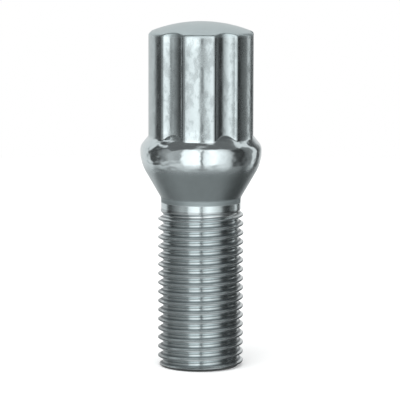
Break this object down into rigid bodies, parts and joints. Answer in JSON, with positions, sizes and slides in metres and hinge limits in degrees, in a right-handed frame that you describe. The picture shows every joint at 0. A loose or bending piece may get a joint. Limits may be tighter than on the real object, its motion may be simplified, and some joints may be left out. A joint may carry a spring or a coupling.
{
  "type": "wheel bolt",
  "caption": "Chromed wheel bolt with a fluted drive head, domed top, rounded collar, conical seat and threaded shank.",
  "frame": {"origin": "centre of the thread's end face, which the bolt stands on", "axes": "+Z along the bolt's axis from the thread end to the domed head, -Y through the middle of a land of the head"},
  "size_m": [0.0196, 0.0196, 0.056],
  "materials": {
    "chrome": "bright chrome on the head and collar, satin on the dome, the seat and the thread"
  },
  "bodies": {
    "root": {"wheel_bolt": "chrome"}
  },
  "joints": []
}
